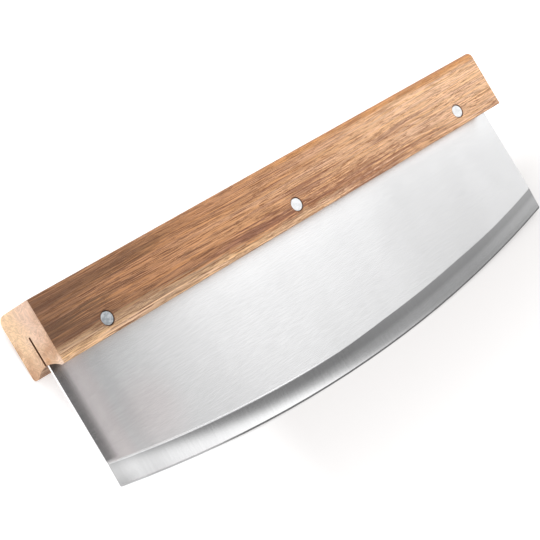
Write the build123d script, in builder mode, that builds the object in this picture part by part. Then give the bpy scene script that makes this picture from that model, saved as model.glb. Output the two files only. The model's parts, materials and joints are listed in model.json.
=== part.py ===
from build123d import *
import os
from math import asin, atan2, cos, degrees, hypot, radians, sin

# Rocking pizza knife, lying on its side as it does on a table, all sizes in millimetres.
# A one-piece wooden bar holds a wide steel blade in a saw slot, and three two-part
# rivets go through bar and blade. The knife lies on the lower long edge of the bar
# and on the middle of its cutting edge, so it is tipped a little about its length.

# Handle bar
handle_length = 355.0
handle_height = 34.4
handle_thickness = 29.2
face_round_left = 0.9
face_round_right = 3.6
back_round_left = 5.6
back_round_right = 4.0
foot_round_face = 0.6
foot_round_back = 2.0
back_foot_drop = 0.75
end_ease = 0.35
cove_width = 21.5
cove_depth = 3.0
cove_shift = 1.3
slot_height = 18.7
slot_shift = 0.8

# Blade
blade_inset = 1.2
blade_drop = 64.0
belly = 17.05
blade_thickness = 1.2
grind_width = 12.4
grind_edge = 0.3
honed_width = 0.9
honed_edge = 0.06
tip_round = 1.2
tang_round = 3.0

# Rivets, drilled by eye, so no two stand quite alike
left_rivet_inset = 35.1
right_rivet_inset = 34.6
middle_rivet_shift = 0.6
left_rivet_rise = 8.0
middle_rivet_rise = 9.0
right_rivet_rise = 8.4
head_diameter = 7.4
head_thickness = 2.0
head_bevel = 0.4
tube_diameter = 4.8
shank_diameter = 3.2
tube_past_blade = 7.0
shank_grip = 12.0
shank_point = 0.5

# Clearances, each on one side only
slot_gap = 0.05
slot_end_gap = 0.4
tube_gap = 0.05
shank_gap = 0.03
bore_end_gap = 1.0
head_gap = 0.25

# How far every cut runs past the material
overrun = 2.0

# Worked out from the sizes above
half_length = handle_length / 2
half_thickness = handle_thickness / 2
half_blade = half_length - blade_inset
cove_radius = (cove_width**2 / 4 + cove_depth**2) / (2 * cove_depth)
tang_top = slot_height - slot_end_gap
edge_radius = (half_blade**2 + belly**2) / (2 * belly)
edge_low = blade_drop + belly
edge_center = edge_radius - edge_low
grind_depth = (blade_thickness - grind_edge) / 2
wheel_radius = (grind_width**2 + grind_depth**2) / (2 * grind_depth)
tube_end = slot_shift + tube_past_blade
tube_length = half_thickness - head_thickness + tube_end
shank_length = half_thickness - head_thickness - tube_end + shank_grip
rivet_places = {
    "left": (left_rivet_inset - half_length, left_rivet_rise),
    "middle": (middle_rivet_shift, middle_rivet_rise),
    "right": (half_length - right_rivet_inset, right_rivet_rise),
}

# The knife's lean on the table, where the line from the rounded back edge of the bar's
# foot to the lowest point of the cutting edge lies level
foot_reach = edge_low - back_foot_drop + foot_round_back
foot_drop = half_thickness - foot_round_back + slot_shift - honed_edge / 2
lean = atan2(foot_drop, foot_reach) + asin(foot_round_back / hypot(foot_drop, foot_reach))

# The outline's reach across the table, for an origin under the middle of the knife
spine_round = min(back_round_left, back_round_right)
spine_reach = (
    (handle_height - spine_round) * cos(lean)
    + (half_thickness - spine_round) * sin(lean)
    + spine_round
)
edge_reach = edge_low * cos(lean) + (slot_shift + honed_edge / 2) * sin(lean)
rest_y = (edge_reach - spine_reach) / 2
rest_z = edge_low * sin(lean) - (slot_shift - honed_edge / 2) * cos(lean)

# The knife's own plane: local x runs along the bar, local y from the cutting edge to
# the spine with zero at the foot of the bar, and the normal leaves the shown face
knife = Plane(
    origin=(0, rest_y, rest_z), x_dir=(1, 0, 0), z_dir=(0, -sin(lean), cos(lean))
)


def across(x):
    """Plane square to the bar at x: its local x climbs from the foot to the spine."""
    return Plane(
        origin=knife.from_local_coords((x, 0, 0)), x_dir=knife.y_dir, z_dir=knife.x_dir
    )


def facing(x, y, z):
    """Plane parallel to the shown face at a place in the knife, looking out of it."""
    return Plane(
        origin=knife.from_local_coords((x, y, z)), x_dir=knife.x_dir, z_dir=knife.z_dir
    )


def backing(x, y, z):
    """Plane parallel to the back face at a place in the knife, looking out of it."""
    return Plane(
        origin=knife.from_local_coords((x, y, z)), x_dir=knife.x_dir, z_dir=-knife.z_dir
    )


def corner_waste(x, round_radius, side):
    """What a round-over takes off the spine at x, on the face (side 1) or the back (-1)."""
    along = handle_height - round_radius
    out = side * (half_thickness - round_radius)
    far_out = side * (half_thickness + overrun)
    bulge = round_radius * cos(radians(45))
    with BuildSketch(across(x)) as waste:
        with BuildLine():
            Line((along, side * half_thickness), (along, far_out))
            Line((along, far_out), (handle_height + overrun, far_out))
            Line((handle_height + overrun, far_out), (handle_height + overrun, out))
            Line((handle_height + overrun, out), (handle_height, out))
            ThreePointArc(
                (handle_height, out),
                (along + bulge, out + side * bulge),
                (along, side * half_thickness),
            )
        make_face()
    return waste.sketch


# Handle: a bar with a saw slot and, along its foot, a shallow cove. Both lie a little
# nearer to the shown face, and the cheek behind them reaches a little further down
with BuildPart() as handle:
    with BuildSketch(across(end_ease - half_length)) as bar_section:
        Rectangle(handle_height, handle_thickness, align=(Align.MIN, Align.CENTER))
        with Locations((-back_foot_drop, 0)):
            Rectangle(handle_height, half_thickness, align=(Align.MIN, Align.MAX))
        with Locations((cove_depth - cove_radius, cove_shift)):
            Circle(cove_radius, mode=Mode.SUBTRACT)
        face_corners = bar_section.vertices().group_by(Axis.Y)[-1]
        fillet(face_corners.sort_by(Axis.X)[0], foot_round_face)
        back_corners = bar_section.vertices().group_by(Axis.Y)[0]
        fillet(back_corners.sort_by(Axis.X)[0], foot_round_back)
    extrude(amount=handle_length - 2 * end_ease)
    # The round-over along the spine changes its radius from end to end
    for side, round_left, round_right in (
        (1, face_round_left, face_round_right),
        (-1, back_round_left, back_round_right),
    ):
        loft(
            sections=[
                corner_waste(end_ease - half_length, round_left, side),
                corner_waste(half_length - end_ease, round_right, side),
            ],
            ruled=True,
            mode=Mode.SUBTRACT,
        )
    # Each sawn end tapers in over the last of its length, so all its edges are eased
    for end in (handle.faces().sort_by(Axis.X)[0], handle.faces().sort_by(Axis.X)[-1]):
        extrude(end, amount=end_ease, taper=45)
    with BuildSketch(across(-half_length - overrun)) as slot_section:
        with Locations((slot_height, slot_shift)):
            Rectangle(
                slot_height + overrun,
                blade_thickness + 2 * slot_gap,
                align=(Align.MAX, Align.CENTER),
            )
    extrude(amount=handle_length + 2 * overrun, mode=Mode.SUBTRACT)
    # One drilling from each face: a seat for the head, then the bore to the middle
    drillings = [facing(x, y, half_thickness) for x, y in rivet_places.values()]
    drillings += [backing(x, y, -half_thickness) for x, y in rivet_places.values()]
    with Locations(*drillings):
        CounterBoreHole(
            radius=tube_diameter / 2 + tube_gap,
            counter_bore_radius=head_diameter / 2 + head_gap,
            counter_bore_depth=head_thickness,
            depth=half_thickness,
        )
handle.part.label = "handle"

# Blade: sheet steel with a curved edge, hollow ground on both sides
with BuildPart() as blade:
    with BuildSketch(knife.offset(slot_shift - blade_thickness / 2)) as blade_outline:
        with BuildLine():
            Line((-half_blade, -blade_drop), (-half_blade, tang_top))
            Line((-half_blade, tang_top), (half_blade, tang_top))
            Line((half_blade, tang_top), (half_blade, -blade_drop))
            ThreePointArc(
                (half_blade, -blade_drop), (0, -edge_low), (-half_blade, -blade_drop)
            )
        make_face()
        fillet(blade_outline.vertices().group_by(Axis.Y)[0], tip_round)
        fillet(blade_outline.vertices().group_by(Axis.Y)[-1], tang_round)
        with Locations(*rivet_places.values()):
            Circle(tube_diameter / 2 + tube_gap, mode=Mode.SUBTRACT)
    extrude(amount=blade_thickness)
    # The grind follows the curved edge, so it is turned about the centre of that curve
    for side in (1, -1):
        grind_start = grind_width - edge_low
        honed_start = honed_width - edge_low
        surface = slot_shift + side * blade_thickness / 2
        thin = slot_shift + side * grind_edge / 2
        keen = slot_shift + side * honed_edge / 2
        with BuildSketch(across(0)) as grind_section:
            with BuildLine():
                RadiusArc((grind_start, surface), (honed_start, thin), side * wheel_radius)
                Polyline(
                    (honed_start, thin),
                    (-edge_low, keen),
                    (-edge_low - overrun, keen),
                    (-edge_low - overrun, surface + side * overrun),
                    (grind_start, surface + side * overrun),
                    (grind_start, surface),
                )
            make_face()
        revolve(
            axis=Axis(knife.from_local_coords((0, edge_center, 0)), knife.z_dir),
            mode=Mode.SUBTRACT,
        )
blade.part.label = "blade"

# Rivets: the solid half drops in from the shown face, the hollow half from the back
rivets = {}
for place, (x, y) in rivet_places.items():
    with BuildPart() as male:
        with BuildSketch(facing(x, y, half_thickness)):
            Circle(head_diameter / 2)
        extrude(amount=-head_thickness)
        chamfer(male.edges().group_by(Axis.Z)[-1], head_bevel)
        with BuildSketch(facing(x, y, half_thickness - head_thickness)):
            Circle(shank_diameter / 2)
        extrude(amount=-shank_length)
        chamfer(male.edges().group_by(Axis.Z)[0], shank_point)
    rivets[place + "_rivet_male"] = male
    with BuildPart() as female:
        with BuildSketch(backing(x, y, -half_thickness)):
            Circle(head_diameter / 2)
        extrude(amount=-head_thickness)
        chamfer(female.edges().group_by(Axis.Z)[0], head_bevel)
        with BuildSketch(backing(x, y, head_thickness - half_thickness)):
            Circle(tube_diameter / 2)
        extrude(amount=-tube_length)
        with Locations(facing(x, y, tube_end)):
            Hole(shank_diameter / 2 + shank_gap, depth=shank_grip + bore_end_gap)
    rivets[place + "_rivet_female"] = female
for name, rivet in rivets.items():
    rivet.part.label = name

os.makedirs("parts", exist_ok=True)
export_step(handle.part, "parts/handle.step")
export_step(blade.part, "parts/blade.step")
for name, rivet in rivets.items():
    export_step(rivet.part, f"parts/{name}.step")
print("lean in degrees", round(degrees(lean), 3))
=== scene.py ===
import bpy
import json
from math import cos, radians, sin
from mathutils import Matrix, Vector

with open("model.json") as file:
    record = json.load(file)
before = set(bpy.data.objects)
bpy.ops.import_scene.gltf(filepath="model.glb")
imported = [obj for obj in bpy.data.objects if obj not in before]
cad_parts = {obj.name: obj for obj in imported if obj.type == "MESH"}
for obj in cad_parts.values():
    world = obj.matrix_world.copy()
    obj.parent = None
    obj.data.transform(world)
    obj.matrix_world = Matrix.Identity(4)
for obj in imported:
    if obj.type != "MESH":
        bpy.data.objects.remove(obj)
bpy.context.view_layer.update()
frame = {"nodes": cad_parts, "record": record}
nodes = frame["nodes"]
print("frame loaded with", len(nodes), "pieces")

# The knife lies tipped a little on the table, so its own directions come from the mount on its back
alongBar = Vector((1, 0, 0))
outOfFace = -Vector(frame["record"]["mounts"][0]["axis"]).normalized()
toSpine = outOfFace.cross(alongBar)


def reachOf(nodeName, direction):
    spread = [vertex.co.dot(direction) for vertex in nodes[nodeName].data.vertices]
    return min(spread), max(spread)


# The knife's origin is in the middle of the bar, level with the foot of its shown cheek
backReach, faceReach = reachOf("handle", outOfFace)
middleReach = (backReach + faceReach) / 2
handlePlaces = [vertex.co for vertex in nodes["handle"].data.vertices]
footReach = min(place.dot(toSpine) for place in handlePlaces if place.dot(outOfFace) > middleReach)
knifeOrigin = toSpine * footReach + outOfFace * middleReach
faceHeight = (faceReach - middleReach) * 1000  # millimetres
edgeReach = reachOf("blade", toSpine)[0]
bladeHalfLength = reachOf("blade", alongBar)[1]
slotOut = (sum(reachOf("blade", outOfFace)) / 2 - middleReach) * 1000  # millimetres

# The cutting edge is an arc: its radius comes from a point of the edge well out to the right
nearShare, farShare = 0.8, 0.98
bladePlaces = [vertex.co for vertex in nodes["blade"].data.vertices]
edgePoint = min(
    (place for place in bladePlaces if nearShare < place.x / bladeHalfLength < farShare),
    key=lambda place: place.dot(toSpine),
)
edgeClimb = edgePoint.dot(toSpine) - edgeReach
edgeRadius = (edgePoint.x**2 + edgeClimb**2) / (2 * edgeClimb)
edgeCentre = knifeOrigin + toSpine * (edgeRadius + edgeReach - footReach)
print("edge radius in millimetres", round(edgeRadius * 1000, 1))

# The middles of the rivet heads, in millimetres from the knife's origin
headCentres = []
for nodeName in ("left_rivet_male", "middle_rivet_male", "right_rivet_male"):
    left, right = reachOf(nodeName, alongBar)
    low, high = reachOf(nodeName, toSpine)
    headCentres.append(((left + right) / 2 * 1000, ((low + high) / 2 - footReach) * 1000, 0.0))
headRadius = (right - left) / 2 * 1000


# Node helpers
def feed(tree, socket, value):
    if isinstance(value, bpy.types.NodeSocket):
        tree.links.new(value, socket)
    else:
        socket.default_value = value


def addNode(tree, kind, feeds=None, **settings):
    node = tree.nodes.new(kind)
    for setting, value in settings.items():
        setattr(node, setting, value)
    for place, value in (feeds or {}).items():
        feed(tree, node.inputs[place], value)
    return node


def calc(tree, operation, *values, clamp=False):
    node = addNode(tree, "ShaderNodeMath", operation=operation, use_clamp=clamp)
    for place, value in enumerate(values):
        feed(tree, node.inputs[place], value)
    return node.outputs[0]


def total(tree, first, *others):
    for other in others:
        first = calc(tree, "ADD", first, other)
    return first


def product(tree, first, *others):
    for other in others:
        first = calc(tree, "MULTIPLY", first, other)
    return first


def offFrom(tree, value, middle):
    return calc(tree, "ABSOLUTE", calc(tree, "SUBTRACT", value, middle))


# Adds marks of the grain to a start, each with its own weight
def weigh(tree, start, marks, weights):
    for name, weight in weights.items():
        start = total(tree, start, product(tree, marks[name], weight))
    return start


def vectorCalc(tree, operation, *values):
    node = addNode(tree, "ShaderNodeVectorMath", operation=operation)
    for place, value in enumerate(values):
        feed(tree, node.inputs[place], value)
    isNumber = operation in ("DOT_PRODUCT", "DISTANCE", "LENGTH")
    return node.outputs["Value" if isNumber else "Vector"]


# How far a position is from a middle, when each direction counts with its own weight
def awayFrom(tree, position, middle, weights):
    off = vectorCalc(tree, "SUBTRACT", position, middle)
    return vectorCalc(tree, "LENGTH", vectorCalc(tree, "MULTIPLY", off, weights))


# A fade: two places and, after them, the values there, 0 and 1 where none are given
def fade(tree, value, low, high, outLow=0.0, outHigh=1.0, style="SMOOTHSTEP"):
    feeds = {"Value": value, "From Min": low, "From Max": high, "To Min": outLow, "To Max": outHigh}
    return addNode(tree, "ShaderNodeMapRange", feeds, interpolation_type=style).outputs[0]


def slope(tree, value, *places):
    return fade(tree, value, *places, style="LINEAR")


def joinVector(tree, x, y, z):
    return addNode(tree, "ShaderNodeCombineXYZ", {0: x, 1: y, 2: z}).outputs[0]


def splitVector(tree, vector):
    return addNode(tree, "ShaderNodeSeparateXYZ", {0: vector}).outputs


def coordinate(tree, kind):
    return addNode(tree, "ShaderNodeTexCoord").outputs[kind]


def noise(tree, vector, detail=2.0, roughness=0.5):
    feeds = {"Vector": vector, "Scale": 1.0, "Detail": detail, "Roughness": roughness}
    return addNode(tree, "ShaderNodeTexNoise", feeds).outputs["Fac"]


def mixNumbers(tree, factor, first, second):
    return addNode(tree, "ShaderNodeMix", {0: factor, 2: first, 3: second}).outputs[0]


def mixColours(tree, factor, first, second, blend="MIX"):
    feeds = {0: factor, 6: first, 7: second}
    return addNode(tree, "ShaderNodeMix", feeds, data_type="RGBA", blend_type=blend).outputs[2]


def shade(tree, colour, tone):
    return mixColours(tree, 1.0, colour, joinVector(tree, tone, tone, tone), "MULTIPLY")


# Stops are pairs of a place and a colour, and low and high are the places of the ramp's ends
def toneRamp(tree, value, low, high, stops):
    ramp = addNode(tree, "ShaderNodeValToRGB", {"Fac": slope(tree, value, low, high)})
    elements = ramp.color_ramp.elements
    while len(elements) < len(stops):
        elements.new(0.5)
    for element, (place, colour) in zip(elements, stops):
        element.position = (place - low) / (high - low)
        element.color = colour
    return ramp.outputs["Color"]


numberKind, vectorKind = "NodeSocketFloat", "NodeSocketVector"


def startGroup(name, inputs, outputs):
    group = bpy.data.node_groups.new(name, "ShaderNodeTree")
    for label, kind, start in inputs:
        group.interface.new_socket(label, in_out="INPUT", socket_type=kind).default_value = start
    for label, kind in outputs:
        group.interface.new_socket(label, in_out="OUTPUT", socket_type=kind)
    entry = group.nodes.new("NodeGroupInput").outputs
    leave = group.nodes.new("NodeGroupOutput").inputs
    return group, entry, leave


def placeGroup(tree, group, **feeds):
    return addNode(tree, "ShaderNodeGroup", feeds, node_tree=group).outputs


# Knife space: millimetres along the bar, up from its foot and out of the shown face
def makeKnifeSpace():
    group, _, leave = startGroup("knifeSpace", [], [("Position", vectorKind)])
    fromOrigin = vectorCalc(group, "SUBTRACT", coordinate(group, "Object"), knifeOrigin)
    inMillimetres = [
        vectorCalc(group, "DOT_PRODUCT", fromOrigin, direction * 1000)
        for direction in (alongBar, toSpine, outOfFace)
    ]
    feed(group, leave["Position"], joinVector(group, *inMillimetres))
    return group


# Streaks: long thin marks along the first axis of a position, from 0 for none to 1
def makeStreaks():
    inputs = [
        ("Position", vectorKind, (0, 0, 0)),
        ("Length", numberKind, 20.0),
        ("Width", numberKind, 0.5),
        ("Start", numberKind, 0.5),
        ("Full", numberKind, 0.7),
        ("Shift", numberKind, 0.0),
    ]
    group, entry, leave = startGroup("streaks", inputs, [("Mask", numberKind)])
    x, y, z = splitVector(group, entry["Position"])
    stretched = joinVector(
        group,
        calc(group, "ADD", calc(group, "DIVIDE", x, entry["Length"]), entry["Shift"]),
        calc(group, "DIVIDE", y, entry["Width"]),
        calc(group, "DIVIDE", z, entry["Width"]),
    )
    marks = noise(group, stretched, detail=3.0, roughness=0.6)
    feed(group, leave["Mask"], slope(group, marks, entry["Start"], entry["Full"]))
    return group


# Head distance: how far a place is from the middle of the nearest rivet head, along the face
def makeHeadDistance():
    inputs = [("Position", vectorKind, (0, 0, 0))]
    group, entry, leave = startGroup("headDistance", inputs, [("Distance", numberKind)])
    onFace = vectorCalc(group, "MULTIPLY", entry["Position"], (1, 1, 0))
    nearest = vectorCalc(group, "DISTANCE", onFace, headCentres[0])
    for centre in headCentres[1:]:
        nearest = calc(group, "MINIMUM", nearest, vectorCalc(group, "DISTANCE", onFace, centre))
    feed(group, leave["Distance"], nearest)
    return group


knifeSpace = makeKnifeSpace()
streaks = makeStreaks()
headDistance = makeHeadDistance()
print("shared node groups made")


def placeStreaks(tree, position, length, width, start, full, shift=0.0):
    shape = {"Length": length, "Width": width, "Start": start, "Full": full, "Shift": shift}
    return placeGroup(tree, streaks, Position=position, **shape)["Mask"]


def startMaterial(name):
    material = bpy.data.materials.new(name)
    material.use_nodes = True
    tree = material.node_tree
    tree.nodes.clear()
    shader = addNode(tree, "ShaderNodeBsdfPrincipled")
    output = addNode(tree, "ShaderNodeOutputMaterial")
    tree.links.new(shader.outputs[0], output.inputs["Surface"])
    return material, tree, shader


def dress(nodeName, material):
    piece = nodes[nodeName]
    for place in range(len(piece.material_slots)):
        piece.material_slots[place].material = material


# Handle: oiled acacia, heartwood at the left end, sapwood at the right, a pale stripe along the
# foot. Sizes are in millimetres of knife space, and a fade is two places and the values there
wood = {
    "roughness": 0.5,
    "roughnessOf": {"dashes": 0.2, "fibres": -0.08},
    "specular": 0.3,
    "poreDepth": 0.00005,  # metres
    "depthOf": {"dashes": -1.0, "threads": -0.8, "fibres": 0.3},
    # the layers lean through the bar, and the fibres wander a little on their way along it
    "layerLean": 0.22,
    "wanderPace": (0.007, 0.035, 0.035),
    "wander": (0.25, 0.75, -1.6, 1.6),
    # marks of the grain: length, width, where they start and are full, shift
    "grain": {
        "bands": (120.0, 4.5, 0.3, 0.7),
        "lines": (65.0, 0.8, 0.39, 0.61, 5.0),
        "fibres": (22.0, 0.42, 0.41, 0.59, 9.0),
        "casts": (70.0, 1.6, 0.38, 0.62, 12.0),
        "threads": (26.0, 0.44, 0.560, 0.578, 2.0),
        "dashes": (6.5, 0.40, 0.570, 0.590, 3.0),
        "densePores": (4.6, 0.38, 0.535, 0.555, 21.0),
    },
    # tones from the left end to the right end, with their places along the bar
    "tones": [
        (-190, (0.185, 0.090, 0.046, 1)),
        (-130, (0.330, 0.165, 0.083, 1)),
        (-75, (0.480, 0.235, 0.112, 1)),
        (10, (0.600, 0.325, 0.175, 1)),
        (95, (0.770, 0.475, 0.285, 1)),
        (180, (0.850, 0.545, 0.345, 1)),
    ],
    "toneEnds": (-200, 200),
    "toneWedges": {"bands": 40.0, "lines": 23.0},  # how far the grain draws the tones out
    "toneShift": -30.5,
    # a golden lens at the left
    "lensRise": 18.0,
    "lensWidth": (2.0, 11.0, 34.0, -12.0),
    "lensRight": (0.0, 90.0, 1.0, 0.0),
    "lensLeft": (-175.0, -140.0, 0.2, 1.0),
    # how ragged the grain makes the borders of what follows
    "ragged": {"bands": 0.3, "lines": 0.8, "fibres": 0.5},
    "raggedShift": -0.8,
    # painted shade along the spine, a warm deep orange, wider and stronger to the right, where the corner
    # is rounder and turns further from the light
    "spineShade": (0.625, 0.290, 0.097, 1),
    "spineShadeRagged": 1.6,
    "spineShadeStart": (-100.0, 170.0, 33.2, 30.2),
    "spineShadeEdge": (-0.6, 1.0),
    "spineShadeAlong": (-170.0, 120.0, 0.05, 0.9),
    "spineShadeOut": (-8.0, 10.0, 0.3, 1.0),
    # darker and paler figure: tone, place along, height, half length, half height, strength
    "figure": [
        ("heart", -176, 14.5, 48, 6.5, 0.70),
        ("heart", -150, 29, 70, 4.0, 0.18),
        ("heart", -112, 25.8, 34, 1.8, 0.42),
        ("mauve", -155, 8.5, 60, 1.8, 0.10),
        ("mauve", -30, 6.9, 58, 3.3, 0.92),
        ("mauve", 14, 16.0, 24, 3.0, 0.70),
        ("mauve", 42, 4.5, 56, 5.5, 0.62),
        ("mauve", 88, 17, 22, 3.5, 0.40),
        ("mauve", 100, 3.2, 45, 4.0, 0.52),
        ("mauve", 160, 6, 30, 4.5, 0.12),
        ("pale", 130, 27, 75, 3.4, 0.60),
    ],
    "figureEdge": (0.3, 1.15),
    "heart": (0.120, 0.062, 0.034, 1),
    "mauve": (0.300, 0.135, 0.078, 1),
    "pale": (0.920, 0.600, 0.370, 1),
    # the pale stripe along the foot, with a ripple where it thins out
    "cream": (0.640, 0.420, 0.260, 1),
    "creamTop": (-115.0, -45.0, 6.7, 4.0),
    "creamRagged": 2.6,
    "creamEdge": (-1.2, 1.2, 0.95, 0.0),
    "creamEnd": (20.0, 55.0, 1.0, 0.0),
    "creamLines": (0.0, 1.0, 0.76, 1.2),
    "creamAlong": (-80.0, -10.0, 0.97, 1.22),
    "creamUp": (0.5, 5.0, 1.13, 0.85),
    "rippleWaves": 0.42,
    "rippleBands": 6.0,
    "rippleAlong": (-90.0, -50.0, 0.0, 0.55),
    # fine fibres of two slight casts, which are multiplied in
    "golden": (1.06, 1.0, 0.86, 1),
    "rosy": (0.98, 0.97, 1.02, 1),
    "fibreTone": (0.0, 1.0, 0.85, 1.25),
    # long dark threads, and open pores as short dark dashes, denser in one patch
    "poreAndShade": (0.150, 0.058, 0.026, 1),
    "redPore": (0.260, 0.090, 0.036, 1),
    "redAlong": (-100.0, 60.0),
    "threadsAlong": (-40.0, 60.0, 0.85, 0.5),
    "dashesAlong": (-100.0, 40.0, 0.5, 0.75),
    "dashesUp": (17.0, 29.0, 1.0, 0.65),
    "denseMiddle": (35.0, 7.0, 0.0),
    "denseReach": (0.012, 0.12, 0.0),
    "denseEdge": (0.5, 1.1, 0.6, 0.0),
    # painted shade along the very top and foot edges, where they round away from the light
    "topShadeStart": (-100.0, 170.0, 33.5, 32.8),
    "topShadeFade": (0.0, 1.0, 0.0, 0.5),
    "topShadeOut": (9.0, 12.0),
    "footShade": (0.15, 0.55, 0.5, 0.0),
    # painted shade on the walls of the slot, and in the gap around the heads
    "slotWallShade": (0.68, 0.74, 0.85, 0.0),
    "slotShadeTop": (18.7, 18.9, 1.0, 0.0),
    "headGapShade": (0.3, 0.75, 0.75, 0.0),
}

# Sawn ends: pale end grain, paler still with painted light from the left, its growth layers crossed by
# short rows of pores
sawnEnd = {
    "facing": (0.45, 0.7),
    "cream": (0.820, 0.570, 0.360, 1),
    "pink": (0.760, 0.530, 0.400, 1),
    "tan": (0.640, 0.405, 0.255, 1),
    "rust": (0.480, 0.260, 0.150, 1),
    "pale": (0.880, 0.650, 0.500, 1),
    "orange": (0.800, 0.400, 0.160, 1),
    "blotchPace": (0.05, 0.14, 0.14),
    "drift": (0.3, 0.7, -3.0, 3.0),
    "pinkOut": (-8.0, 9.0),
    "tanLean": -0.3,
    "tanUp": (2.0, 19.0, 1.0, 0.0),
    "rustOut": (8.0, 14.0, 0.0, 0.16),
    # patches: tone, height, place out, reach, strength
    "patches": [
        ("rust", 1.0, -15.0, 11.0, 0.60),
        ("rust", 15.5, -14.0, 6.0, 0.48),
        ("rust", 9.5, -9.0, 4.0, 0.40),
        ("rust", 11.0, 13.5, 6.0, 0.46),
        ("rust", 17.5, 8.0, 3.5, 0.25),
        ("rust", 25.0, 13.0, 6.5, 0.36),
        ("rust", 6.0, 12.0, 3.5, 0.45),
        ("pale", 0.5, 14.0, 6.0, 0.85),
        ("orange", 4.6, 4.5, 2.6, 0.55),
        ("rust", 3.4, 4.2, 3.6, 0.50),
    ],
    "patchCore": 0.2,  # the share of a patch's reach that has its full strength
    # one dark layer that climbs from the slot to the shown face
    "layerFoot": 5.6,
    "layerClimb": -0.38,
    "layerDrift": 0.3,
    "layerEdge": (0.68, 1.7, 0.58, 0.0),
    "layerStart": (1.5, 4.5),
    "layerEnd": (12.0, 15.0, 1.0, 0.0),
    # layers and rows of pores: length, width, where they start and are full, shift
    "rowPace": 0.9,
    "rowClimb": 0.25,
    "layers": (2.6, 1.0, 0.42, 0.58),
    "layerTone": (0.0, 1.0, 0.86, 1.11),
    "specks": (1.8, 0.8, 0.53, 0.62, 4.0),
    "specksUp": (4.0, 26.0, 0.4, 0.22),
}


def findGrain(tree, position):
    x, y, z = splitVector(tree, position)
    slow = vectorCalc(tree, "MULTIPLY", position, wood["wanderPace"])
    wander = slope(tree, noise(tree, slow), *wood["wander"])
    lean = product(tree, calc(tree, "SUBTRACT", faceHeight, z), wood["layerLean"])
    grain = joinVector(tree, x, total(tree, y, wander, lean), z)
    marks = {name: placeStreaks(tree, grain, *shape) for name, shape in wood["grain"].items()}
    return grain, marks


def paintFigure(tree, position, grain, marks):
    x, y, z = splitVector(tree, position)
    rise = splitVector(tree, grain)[1]
    ragged = weigh(tree, wood["raggedShift"], marks, wood["ragged"])

    lens = fade(tree, offFrom(tree, rise, wood["lensRise"]), *wood["lensWidth"])
    lens = product(tree, lens, fade(tree, x, *wood["lensRight"]), fade(tree, x, *wood["lensLeft"]))
    shifted = weigh(tree, total(tree, x, lens, wood["toneShift"]), marks, wood["toneWedges"])
    colour = toneRamp(tree, shifted, *wood["toneEnds"], wood["tones"])

    # painted shade, warm orange, where the rounded spine corner turns from the light
    overStart = calc(tree, "SUBTRACT", y, slope(tree, x, *wood["spineShadeStart"]))
    overStart = total(tree, overStart, product(tree, ragged, wood["spineShadeRagged"]))
    spineShade = product(tree, fade(tree, overStart, *wood["spineShadeEdge"]), fade(tree, x, *wood["spineShadeAlong"]))
    spineShade = product(tree, spineShade, fade(tree, z, *wood["spineShadeOut"]))
    colour = mixColours(tree, spineShade, colour, wood["spineShade"])

    for tone, along, height, halfLength, halfHeight, strength in wood["figure"]:
        away = awayFrom(tree, grain, (along, height, 0), (1 / halfLength, 1 / halfHeight, 0))
        mask = fade(tree, total(tree, away, ragged), *wood["figureEdge"], strength, 0.0)
        colour = mixColours(tree, mask, colour, wood[tone])

    waves = total(
        tree, product(tree, x, wood["rippleWaves"]), product(tree, marks["bands"], wood["rippleBands"])
    )
    ripple = product(tree, calc(tree, "SINE", waves), fade(tree, x, *wood["rippleAlong"]))
    overTop = calc(tree, "SUBTRACT", rise, slope(tree, x, *wood["creamTop"]))
    overTop = total(tree, overTop, product(tree, ragged, wood["creamRagged"]), ripple)
    creamMask = product(tree, fade(tree, overTop, *wood["creamEdge"]), fade(tree, x, *wood["creamEnd"]))
    creamTone = product(
        tree,
        slope(tree, marks["lines"], *wood["creamLines"]),
        fade(tree, x, *wood["creamAlong"]),
        fade(tree, y, *wood["creamUp"]),
    )
    return mixColours(tree, creamMask, colour, shade(tree, wood["cream"], creamTone))


def paintPores(tree, position, marks, colour):
    x, y, z = splitVector(tree, position)
    casts = mixColours(tree, marks["casts"], wood["rosy"], wood["golden"])
    colour = mixColours(tree, 1.0, colour, casts, "MULTIPLY")
    colour = shade(tree, colour, slope(tree, marks["fibres"], *wood["fibreTone"]))

    threads = product(tree, marks["threads"], fade(tree, x, *wood["threadsAlong"]))
    dashes = product(
        tree,
        marks["dashes"],
        fade(tree, x, *wood["dashesAlong"]),
        fade(tree, y, *wood["dashesUp"]),
    )
    offDense = awayFrom(tree, position, wood["denseMiddle"], wood["denseReach"])
    dense = product(tree, marks["densePores"], fade(tree, offDense, *wood["denseEdge"]))
    pores = calc(tree, "MAXIMUM", calc(tree, "MAXIMUM", threads, dashes), dense)
    poreAndShade = mixColours(tree, fade(tree, x, *wood["redAlong"]), wood["poreAndShade"], wood["redPore"])
    colour = mixColours(tree, pores, colour, poreAndShade)

    # painted shade: thin dark lines along the top and foot edges, in the dark pore colour
    overTop = calc(tree, "SUBTRACT", y, fade(tree, x, *wood["topShadeStart"]))
    topEdgeShade = product(tree, fade(tree, overTop, *wood["topShadeFade"]), fade(tree, z, *wood["topShadeOut"]))
    edgeShade = calc(tree, "MAXIMUM", topEdgeShade, fade(tree, y, *wood["footShade"]))
    return mixColours(tree, edgeShade, colour, poreAndShade)


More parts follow.
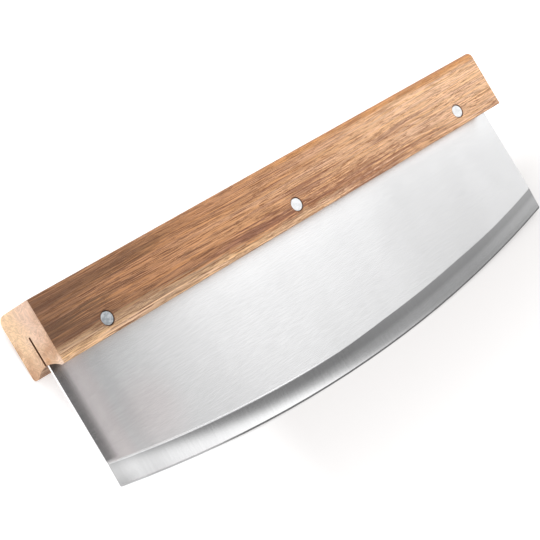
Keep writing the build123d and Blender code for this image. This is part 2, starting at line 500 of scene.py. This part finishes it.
def paintSawnEnd(tree, position):
    y, z = splitVector(tree, position)[1:]
    blotch = noise(tree, vectorCalc(tree, "MULTIPLY", position, sawnEnd["blotchPace"]))
    drift = slope(tree, blotch, *sawnEnd["drift"])
    outward = fade(tree, total(tree, z, drift), *sawnEnd["pinkOut"])
    colour = mixColours(tree, outward, sawnEnd["cream"], sawnEnd["pink"])
    leaning = total(tree, y, product(tree, z, sawnEnd["tanLean"]), drift)
    colour = mixColours(tree, fade(tree, leaning, *sawnEnd["tanUp"]), colour, sawnEnd["tan"])
    colour = mixColours(tree, fade(tree, z, *sawnEnd["rustOut"]), colour, sawnEnd["rust"])

    for tone, height, out, reach, strength in sawnEnd["patches"]:
        away = awayFrom(tree, position, (0, height, out), (0, 1, 1))
        patch = fade(tree, away, reach * sawnEnd["patchCore"], reach, strength, 0.0)
        colour = mixColours(tree, patch, colour, sawnEnd[tone])

    climbing = total(tree, y, product(tree, z, sawnEnd["layerClimb"]))
    climbing = total(tree, climbing, product(tree, drift, sawnEnd["layerDrift"]))
    layer = fade(tree, offFrom(tree, climbing, sawnEnd["layerFoot"]), *sawnEnd["layerEdge"])
    layer = product(tree, layer, fade(tree, z, *sawnEnd["layerStart"]), fade(tree, z, *sawnEnd["layerEnd"]))
    colour = mixColours(tree, layer, colour, sawnEnd["rust"])

    upRows = total(tree, y, product(tree, z, sawnEnd["rowClimb"]), drift)
    rows = joinVector(tree, product(tree, z, sawnEnd["rowPace"]), upRows, 0.0)
    layers = placeStreaks(tree, rows, *sawnEnd["layers"])
    colour = shade(tree, colour, slope(tree, layers, *sawnEnd["layerTone"]))
    specks = placeStreaks(tree, rows, *sawnEnd["specks"])
    specks = product(tree, specks, fade(tree, y, *sawnEnd["specksUp"]))
    return mixColours(tree, specks, colour, sawnEnd["rust"])


def makeWood():
    material, tree, shader = startMaterial("oiledAcacia")
    position = placeGroup(tree, knifeSpace)["Position"]
    y, z = splitVector(tree, position)[1:]
    grain, marks = findGrain(tree, position)
    colour = paintPores(tree, position, marks, paintFigure(tree, position, grain, marks))
    # the sawn ends take their own colour, whose paleness is partly painted light from the left
    facingEnd = calc(tree, "ABSOLUTE", splitVector(tree, coordinate(tree, "Normal"))[0])
    endMask = fade(tree, facingEnd, *sawnEnd["facing"])
    colour = mixColours(tree, endMask, colour, paintSawnEnd(tree, position))

    # painted shade on the walls of the slot
    slotShadow = fade(tree, offFrom(tree, z, slotOut), *wood["slotWallShade"])
    slotShadow = product(tree, slotShadow, fade(tree, y, *wood["slotShadeTop"]))
    colour = mixColours(tree, slotShadow, colour, wood["poreAndShade"])
    # painted shade in the gap around each rivet head
    offHead = placeGroup(tree, headDistance, Position=position)["Distance"]
    gapShade = fade(tree, calc(tree, "SUBTRACT", offHead, headRadius), *wood["headGapShade"])
    colour = mixColours(tree, gapShade, colour, wood["poreAndShade"])

    feed(tree, shader.inputs["Base Color"], colour)
    shader.inputs["Specular IOR Level"].default_value = wood["specular"]
    roughness = weigh(tree, wood["roughness"], marks, wood["roughnessOf"])
    feed(tree, shader.inputs["Roughness"], roughness)
    depth = weigh(tree, 0.0, marks, wood["depthOf"])
    bump = addNode(tree, "ShaderNodeBump", {"Height": depth, "Distance": wood["poreDepth"]})
    feed(tree, shader.inputs["Normal"], bump.outputs[0])
    return material


dress("handle", makeWood())
print("handle dressed")


# Blade: brushed along its length, hollow ground across its curved edge. Sizes are in millimetres
blade = {
    "steel": (0.73, 0.73, 0.735, 1),
    "anisotropy": 0.97,
    "faceRoughness": 0.207,
    "grindRoughness": 0.079,
    "grindWidth": 12.4,
    "grindAngle": 4.2,  # degrees between the face and the start of the grind
    "grindEdge": (-0.1, 0.1),
    "hollow": (-0.00235, 0.00178),  # rounds the hollow of the grind, whose mesh is coarse
    "ridgeWidth": 0.6,
    # the grind was held by hand, so it starts a little higher right of the middle
    "ridgeSway": 0.9,
    "swayStart": (-20.0, 30.0),
    "swayEnd": (90.0, 140.0, 1.0, 0.0),
    "honedWidth": 0.9,
    "honedRoughness": 0.35,
    # how far the sheared left end rolls over, down to the grind
    "rollWidth": 8.0,
    "rollAngle": 3.0,  # degrees
    "rollEnd": (-2.4, -0.9, 1.0, 0.0),
    # brush marks: length, width, where they start and are full
    "faceBrush": (10.0, 0.7, 0.35, 0.65),
    "grindBrush": (16.0, 1.0, 0.3, 0.7),
    "brushAlong": (-60.0, 120.0, 1.0, 0.4),
    "brushTone": 0.09,
    "brushDepth": 0.0001,
    "brushRoughness": (0.0, 1.0, 0.97, 1.03),
    "hazePace": (0.03, 0.018, 0.03),
    "haze": (0.3, 0.7, 0.98, 1.02),
    # painted reflections: lighter beside the handle, at the right end and low at the left, and painted
    # shade over the rest of the left
    "handleHighlightUp": (-22.0, 0.0, 0.0, 0.09),
    "handleHighlightAlong": (-130.0, -50.0),
    "rightEndHighlight": (120.0, 176.0, 0.0, 0.09),
    "leftEndShade": (-176.0, -50.0, 0.90, 1.0),
    "lowLeftHighlightUp": (-54.0, -36.0, 0.09, 0.0),
    "lowLeftHighlightAlong": (-150.0, -105.0, 1.0, 0.0),
    # lighter and darker clouds: place along, half width, how much
    "clouds": [(-165, 8, 0.13), (-150, 9, -0.06), (-45, 28, 0.02), (90, 50, -0.05)],
    # painted reflection: the grind is lighter along its middle and darker near its ridge and edge, but not
    # in its left quarter
    "grindReflectionIn": (3.2, 6.5, 0.84, 1.12),
    "grindReflectionOut": (8.0, 10.5, 1.0, 0.88),
    "grindReflectionAlong": (-90.0, -10.0),
    # painted highlight on the ridge at the left, and painted shade on the honed edge right of the left end
    "ridgeAbove": -0.2,
    "ridgeHighlight": (0.3, 0.7, 1.0, 0.0),
    "ridgeAlong": (-60.0, 0.0, 0.35, 0.0),
    "honedAlong": (-130.0, -85.0),
    "honedShadeTone": (0.0, 1.0, 1.0, 0.34),
    # painted highlight close under the handle, at the right, turning to a little painted shade at the right
    # end
    "underHandleHighlightUp": (-7.0, -0.5, 0.0, 0.24),
    "underHandleHighlightAlong": (20.0, 110.0),
    "underHandleHighlightEnd": (145.0, 176.0, 1.0, -0.2),
    # a warm blush in a line across the left end and in a spot beside it
    "blush": (0.757, 0.712, 0.712, 1),
    "blushLine": -166.0,
    "blushWidth": (4.0, 14.0, 1.0, 0.0),
    "blushSpot": (-138.0, -42.0, 0.0),
    "blushReach": (5.0, 28.0, 0.8, 0.0),
    # painted shade and a painted dark reflection of the cove on the left end
    "shadedSteel": (0.09, 0.10, 0.115, 1),
    "coveShadeMiddle": (-176.0, 3.0, 0.0),
    "coveShadeReach": (0.6, 1.0, 0.0),
    "coveShadeEdge": (2.0, 6.5, 0.85, 0.0),
    # painted highlight on the cut sides, and painted shade on them up in the slot
    "sideHighlight": (0.93, 0.93, 0.93, 1),
    "sideFacing": 0.7,
    "slotClimb": -0.34,
    "slotFoot": -1.02,
    "slotEdge": (0.2, 0.5, 1.0, 0.0),
}


# Tone of the steel: marks, haze and clouds on the face, painted reflections, highlights and shade, and the
# painted reflection of the grind
def findTone(tree, position, depth, pastRidge, ground, brush, honed):
    x, y = splitVector(tree, position)[:2]
    slow = vectorCalc(tree, "MULTIPLY", position, blade["hazePace"])
    tone = fade(tree, noise(tree, slow, detail=3.0), *blade["haze"])
    tone = total(tree, tone, product(tree, brush, blade["brushTone"]))
    # painted reflections, lighter beside the handle and at the right end, painted shade at the left,
    # lighter low at the left
    handleHighlight = product(tree, fade(tree, y, *blade["handleHighlightUp"]), fade(tree, x, *blade["handleHighlightAlong"]))
    tone = total(tree, tone, handleHighlight, fade(tree, x, *blade["rightEndHighlight"]))
    for along, reach, amount in blade["clouds"]:
        offCloud = product(tree, offFrom(tree, x, along), 1 / reach)
        tone = total(tree, tone, fade(tree, offCloud, 0.0, 1.0, amount, 0.0))
    tone = product(tree, tone, fade(tree, x, *blade["leftEndShade"]))
    lowLeftHighlight = product(tree, fade(tree, y, *blade["lowLeftHighlightUp"]), fade(tree, x, *blade["lowLeftHighlightAlong"]))
    tone = total(tree, tone, lowLeftHighlight)

    # painted reflection across the grind, lighter in its middle
    grindReflection = product(tree, fade(tree, depth, *blade["grindReflectionIn"]), fade(tree, depth, *blade["grindReflectionOut"]))
    grindReflectionMask = product(tree, ground, fade(tree, x, *blade["grindReflectionAlong"]))
    tone = product(tree, tone, mixNumbers(tree, grindReflectionMask, 1.0, grindReflection))
    # painted highlight along the ridge at the left
    ridgeHighlight = fade(tree, offFrom(tree, pastRidge, blade["ridgeAbove"]), *blade["ridgeHighlight"])
    tone = total(tree, tone, product(tree, ridgeHighlight, fade(tree, x, *blade["ridgeAlong"])))
    # painted shade on the honed edge
    honedShade = product(tree, honed, fade(tree, x, *blade["honedAlong"]))
    tone = product(tree, tone, fade(tree, honedShade, *blade["honedShadeTone"]))
    # painted highlight close under the handle, a little painted shade at the right end
    underHandleHighlight = product(tree, fade(tree, y, *blade["underHandleHighlightUp"]), fade(tree, x, *blade["underHandleHighlightAlong"]))
    return total(tree, tone, product(tree, underHandleHighlight, fade(tree, x, *blade["underHandleHighlightEnd"])))


def paintSteel(tree, position, tone, ground):
    x, y, z = splitVector(tree, position)
    blush = fade(tree, offFrom(tree, x, blade["blushLine"]), *blade["blushWidth"])
    offSpot = awayFrom(tree, position, blade["blushSpot"], (1, 1, 0))
    blush = calc(tree, "MAXIMUM", blush, fade(tree, offSpot, *blade["blushReach"]))
    blush = product(tree, blush, calc(tree, "SUBTRACT", 1.0, ground))
    steel = shade(tree, mixColours(tree, blush, blade["steel"], blade["blush"]), tone)
    # painted shade and dark reflection of the cove on the left end
    offCoveShade = awayFrom(tree, position, blade["coveShadeMiddle"], blade["coveShadeReach"])
    steel = mixColours(tree, fade(tree, offCoveShade, *blade["coveShadeEdge"]), steel, blade["shadedSteel"])

    # painted highlight on the cut sides, painted shade where they run up into the slot
    facingSide = calc(tree, "ABSOLUTE", splitVector(tree, coordinate(tree, "Normal"))[0])
    side = calc(tree, "GREATER_THAN", facingSide, blade["sideFacing"])
    climbing = total(tree, z, product(tree, y, blade["slotClimb"]))
    slotShadow = fade(tree, calc(tree, "SUBTRACT", climbing, blade["slotFoot"]), *blade["slotEdge"])
    return mixColours(tree, side, steel, mixColours(tree, slotShadow, blade["sideHighlight"], blade["shadedSteel"]))


# Heights in millimetres: the ridge above the grind is rounded, and the grind is hollow
def findHeight(tree, depth, sway, pastRidge, brush, honedStart):
    grindSlope = -radians(blade["grindAngle"])
    offRidge = product(tree, calc(tree, "ABSOLUTE", pastRidge), 1 / blade["ridgeWidth"])
    nearRidge = calc(tree, "SUBTRACT", 1.0, offRidge, clamp=True)
    ridge = product(tree, nearRidge, nearRidge, grindSlope * blade["ridgeWidth"] / 4)
    aboveMesh = calc(tree, "MINIMUM", calc(tree, "MAXIMUM", pastRidge, 0.0), sway)
    inGrind = calc(tree, "MINIMUM", calc(tree, "MAXIMUM", depth, 0.0), honedStart)
    dip, bend = blade["hollow"]
    hollow = product(tree, inGrind, total(tree, product(tree, inGrind, bend), dip))
    brushed = product(tree, brush, blade["brushDepth"])
    return total(tree, ridge, product(tree, aboveMesh, grindSlope), hollow, brushed)


# The normal of the face, turned where the left end rolls over
def turnNormal(tree, x, pastRidge):
    rollStart = bladeHalfLength * 1000 - blade["rollWidth"]
    intoRoll = calc(tree, "SUBTRACT", product(tree, x, -1.0), rollStart)
    intoRoll = calc(tree, "MAXIMUM", product(tree, intoRoll, 1 / blade["rollWidth"]), 0.0)
    turn = product(tree, intoRoll, radians(-blade["rollAngle"]), fade(tree, pastRidge, *blade["rollEnd"]))
    turned = vectorCalc(tree, "ADD", coordinate(tree, "Normal"), joinVector(tree, turn, 0.0, 0.0))
    feeds = {"Vector": vectorCalc(tree, "NORMALIZE", turned)}
    way = {"vector_type": "NORMAL", "convert_from": "OBJECT", "convert_to": "WORLD"}
    return addNode(tree, "ShaderNodeVectorTransform", feeds, **way).outputs[0]


def makeBladeSteel():
    material, tree, shader = startMaterial("brushedBlade")
    position = placeGroup(tree, knifeSpace)["Position"]
    x, _, z = splitVector(tree, position)

    # depth below the ridge of the grind, by distance from the centre of the curved edge
    place = coordinate(tree, "Object")
    along = product(tree, splitVector(tree, place)[0], 1000.0)
    fromCentre = vectorCalc(tree, "SUBTRACT", place, edgeCentre)
    radius = product(tree, vectorCalc(tree, "LENGTH", fromCentre), 1000.0)
    depth = calc(tree, "SUBTRACT", radius, edgeRadius * 1000 - blade["grindWidth"])
    sway = product(tree, fade(tree, along, *blade["swayStart"]), fade(tree, along, *blade["swayEnd"]))
    sway = product(tree, sway, blade["ridgeSway"])
    pastRidge = total(tree, depth, sway)
    ground = fade(tree, pastRidge, *blade["grindEdge"])
    honedStart = blade["grindWidth"] - blade["honedWidth"]
    honed = calc(tree, "GREATER_THAN", depth, honedStart)

    # brushing runs along the face and across the grind, so the gloss spreads the other way
    around = vectorCalc(tree, "CROSS_PRODUCT", vectorCalc(tree, "NORMALIZE", fromCentre), outOfFace)
    feeds = {0: calc(tree, "GREATER_THAN", pastRidge, 0.0), 4: toSpine, 5: around}
    tangent = addNode(tree, "ShaderNodeMix", feeds, data_type="VECTOR").outputs[1]
    faceBrush = placeStreaks(tree, position, *blade["faceBrush"])
    grindBrush = placeStreaks(tree, joinVector(tree, pastRidge, x, z), *blade["grindBrush"])
    brush = mixNumbers(tree, ground, faceBrush, grindBrush)
    brushStrength = fade(tree, x, *blade["brushAlong"])

    brushTone = product(tree, calc(tree, "SUBTRACT", brush, 0.5), brushStrength)
    tone = findTone(tree, position, depth, pastRidge, ground, brushTone, honed)
    feed(tree, shader.inputs["Base Color"], paintSteel(tree, position, tone, ground))
    shader.inputs["Metallic"].default_value = 1.0
    shader.inputs["Anisotropic"].default_value = blade["anisotropy"]
    feed(tree, shader.inputs["Tangent"], tangent)
    roughness = slope(tree, ground, 0.0, 1.0, blade["faceRoughness"], blade["grindRoughness"])
    roughness = product(tree, roughness, slope(tree, brush, *blade["brushRoughness"]))
    roughness = mixNumbers(tree, honed, roughness, blade["honedRoughness"])
    feed(tree, shader.inputs["Roughness"], roughness)

    height = findHeight(tree, depth, sway, pastRidge, product(tree, brush, brushStrength), honedStart)
    feeds = {"Height": height, "Distance": 0.001, "Normal": turnNormal(tree, x, pastRidge)}
    feed(tree, shader.inputs["Normal"], addNode(tree, "ShaderNodeBump", feeds).outputs[0])
    return material


dress("blade", makeBladeSteel())
print("blade dressed")


# Rivets: satin heads with a painted highlight on the rim, the left one painted darker than the others, as a
# darker reflection
rivet = {
    "steel": (0.90, 0.91, 0.92, 1),
    "shadedHead": (0.400, 0.430, 0.460, 1),
    "shadedHeadEnd": (-60.0, -50.0),
    "wornShare": 0.4,  # how much of the bright steel shows through on the left head, which is painted darker as a darker reflection
    "roughness": (0.0, 1.0, 0.28, 0.36),
    "rimWidth": 0.7,
    "rimHighlight": 0.1,
    "brush": (5.0, 0.3, 0.3, 0.7),
    "brushTone": (0.0, 1.0, -0.05, 0.03),
    "brushDepth": 0.000002,  # metres
    "wearPace": (0.45, 0.45, 0.45),
    "wear": (0.35, 0.65),
    "wearTone": (0.88, 1.04),
}


def makeRivetSteel():
    material, tree, shader = startMaterial("satinRivet")
    position = placeGroup(tree, knifeSpace)["Position"]
    fromMiddle = placeGroup(tree, headDistance, Position=position)["Distance"]
    toRim = fade(tree, fromMiddle, headRadius - rivet["rimWidth"], headRadius)
    brush = placeStreaks(tree, position, *rivet["brush"])
    wear = noise(tree, vectorCalc(tree, "MULTIPLY", position, rivet["wearPace"]), detail=3.0)
    wornTone = fade(tree, wear, *rivet["wear"], *rivet["wearTone"])
    # painted highlight on the rim of each head
    rimHighlight = product(tree, toRim, rivet["rimHighlight"])
    tone = total(tree, fade(tree, brush, *rivet["brushTone"]), wornTone, rimHighlight)
    # the left head is painted darker as a darker reflection, with worn spots
    wornShadedHead = mixColours(tree, fade(tree, wear, *rivet["wear"]), rivet["shadedHead"], rivet["steel"])
    wornShadedHead = mixColours(tree, rivet["wornShare"], rivet["shadedHead"], wornShadedHead)
    x = splitVector(tree, position)[0]
    steel = mixColours(tree, fade(tree, x, *rivet["shadedHeadEnd"]), wornShadedHead, rivet["steel"])
    feed(tree, shader.inputs["Base Color"], shade(tree, steel, tone))
    shader.inputs["Metallic"].default_value = 1.0
    feed(tree, shader.inputs["Roughness"], slope(tree, brush, *rivet["roughness"]))
    bump = addNode(tree, "ShaderNodeBump", {"Height": brush, "Distance": rivet["brushDepth"]})
    feed(tree, shader.inputs["Normal"], bump.outputs[0])
    return material


rivetSteel = makeRivetSteel()
for nodeName in nodes:
    if "rivet" in nodeName:
        dress(nodeName, rivetSteel)
print("rivets dressed")


# Floor: pale, with a soft band of shade in front of the cutting edge, at the middle and the right.
# Sizes are in metres
paleFloor = {
    "size": 6.0,
    "colour": (0.93, 0.93, 0.93, 1),
    "glow": 0.5,
    "roughness": 0.8,
    "specular": 0.2,
    "mottlePace": (40, 40, 40),
    "mottle": (0.0, 1.0, 0.985, 1.0),
    "shade": (0.565, 0.553, 0.548, 1),
    "shadeStart": (-0.06, -0.015),  # past the edge
    "shadeEnd": (-0.02, 0.2, 1.0, 0.0),
    "shadeLeft": (-0.14, -0.06),  # along the bar
    "shadeRight": (0.17, 0.30, 1.0, 0.0),
}


def makeFloor():
    half = paleFloor["size"] / 2
    corners = [(-half, -half, 0), (half, -half, 0), (half, half, 0), (-half, half, 0)]
    mesh = bpy.data.meshes.new("floor")
    mesh.from_pydata(corners, [], [(0, 1, 2, 3)])
    floor = bpy.data.objects.new("floor", mesh)
    bpy.context.scene.collection.objects.link(floor)
    material, tree, shader = startMaterial("paleFloor")
    place = coordinate(tree, "Object")
    x = splitVector(tree, place)[0]
    mottle = noise(tree, vectorCalc(tree, "MULTIPLY", place, paleFloor["mottlePace"]), detail=3.0)
    colour = shade(tree, paleFloor["colour"], slope(tree, mottle, *paleFloor["mottle"]))
    pastEdge = calc(tree, "SUBTRACT", vectorCalc(tree, "DISTANCE", place, edgeCentre), edgeRadius)
    band = product(
        tree,
        fade(tree, pastEdge, *paleFloor["shadeStart"]),
        fade(tree, pastEdge, *paleFloor["shadeEnd"]),
        fade(tree, x, *paleFloor["shadeLeft"]),
        fade(tree, x, *paleFloor["shadeRight"]),
    )
    colour = mixColours(tree, band, colour, paleFloor["shade"])
    feed(tree, shader.inputs["Base Color"], colour)
    feed(tree, shader.inputs["Emission Color"], colour)
    shader.inputs["Emission Strength"].default_value = paleFloor["glow"]
    shader.inputs["Roughness"].default_value = paleFloor["roughness"]
    shader.inputs["Specular IOR Level"].default_value = paleFloor["specular"]
    mesh.materials.append(material)


# Sky: soft light all round, with a large soft box and two dark flags at the right. Its places are
# parts of a direction of length 1
sky = {
    "level": 1.1,
    # the soft box
    "boxLevel": 1.84,
    "boxAlong": (0.15, 0.4),
    "boxUp": (0.1, 0.4),
    # a narrow dark strip high above
    "stripLevel": 0.02,
    "stripBottom": (0.744, 0.8434),
    "stripTop": (0.86, 0.93, 1.0, 0.0),
    "stripAlong": (0.1, 0.35),
    # a large dark flag in front, which lets more light through lower down
    "flagLevel": 0.248,
    "flagNormal": (0.6264, -0.7483, -0.2183),
    "flagEdge": (0.3865, 0.4135),
    "flagRise": 3.0,
    "flagTop": 0.72,
    "flagAlong": (0.0, 0.3),
    "flagIn": (-0.05, 0.15, 1.0, 0.0),
}


def makeSky():
    world = bpy.data.worlds.new("studioSky")
    bpy.context.scene.world = world
    world.use_nodes = True
    tree = world.node_tree
    tree.nodes.clear()
    direction = coordinate(tree, "Generated")
    x, y, z = splitVector(tree, direction)
    inBox = product(tree, fade(tree, x, *sky["boxAlong"]), fade(tree, z, *sky["boxUp"]))
    level = slope(tree, inBox, 0.0, 1.0, sky["level"], sky["boxLevel"])

    strip = product(tree, fade(tree, z, *sky["stripBottom"]), fade(tree, z, *sky["stripTop"]))
    strip = product(tree, strip, fade(tree, x, *sky["stripAlong"]))
    level = total(tree, level, product(tree, strip, calc(tree, "SUBTRACT", sky["stripLevel"], level)))

    pastEdge = vectorCalc(tree, "DOT_PRODUCT", direction, sky["flagNormal"])
    flag = product(tree, fade(tree, pastEdge, *sky["flagEdge"]), fade(tree, x, *sky["flagAlong"]))
    flag = product(tree, flag, fade(tree, y, *sky["flagIn"]))
    below = calc(tree, "MAXIMUM", calc(tree, "SUBTRACT", sky["flagTop"], z), 0.0)
    flagLevel = total(tree, product(tree, below, sky["flagRise"]), sky["flagLevel"])
    flagLevel = calc(tree, "MINIMUM", flagLevel, sky["level"])
    level = total(tree, level, product(tree, flag, calc(tree, "SUBTRACT", flagLevel, level)))
    background = addNode(tree, "ShaderNodeBackground", {"Color": joinVector(tree, level, level, level)})
    output = addNode(tree, "ShaderNodeOutputWorld")
    tree.links.new(background.outputs[0], output.inputs["Surface"])


makeFloor()
makeSky()
print("floor and sky made")


# Camera: at the photo's angle. Angles are in degrees, the lens and the sensor in millimetres and
# the rest in metres
camera = {
    "azimuth": -79.1615,
    "elevation": 48.1456,
    "roll": -44.1353,
    "distance": 1.116076,
    "target": (-0.015639, 0.010954, 0.0),
    "lens": 141.401,
    "sensor": 36.0,
    "clip": (0.01, 50),
}


def makeCamera():
    azimuth, elevation, roll = (radians(camera[name]) for name in ("azimuth", "elevation", "roll"))
    back = Vector((sin(azimuth) * cos(elevation), -cos(azimuth) * cos(elevation), sin(elevation)))
    levelRight = (-back).cross(Vector((0, 0, 1))).normalized()
    levelUp = back.cross(levelRight)
    up = levelUp * cos(roll) + levelRight * sin(roll)
    right = up.cross(back)
    data = bpy.data.cameras.new("photoCamera")
    data.lens = camera["lens"]
    data.sensor_width = camera["sensor"]
    data.clip_start, data.clip_end = camera["clip"]
    holder = bpy.data.objects.new("photoCamera", data)
    bpy.context.scene.collection.objects.link(holder)
    holder.matrix_world = Matrix((right, up, back)).transposed().to_4x4()
    holder.location = Vector(camera["target"]) + back * camera["distance"]
    bpy.context.scene.camera = holder


makeCamera()
bpy.context.scene.view_settings.view_transform = "Standard"
print("camera set")
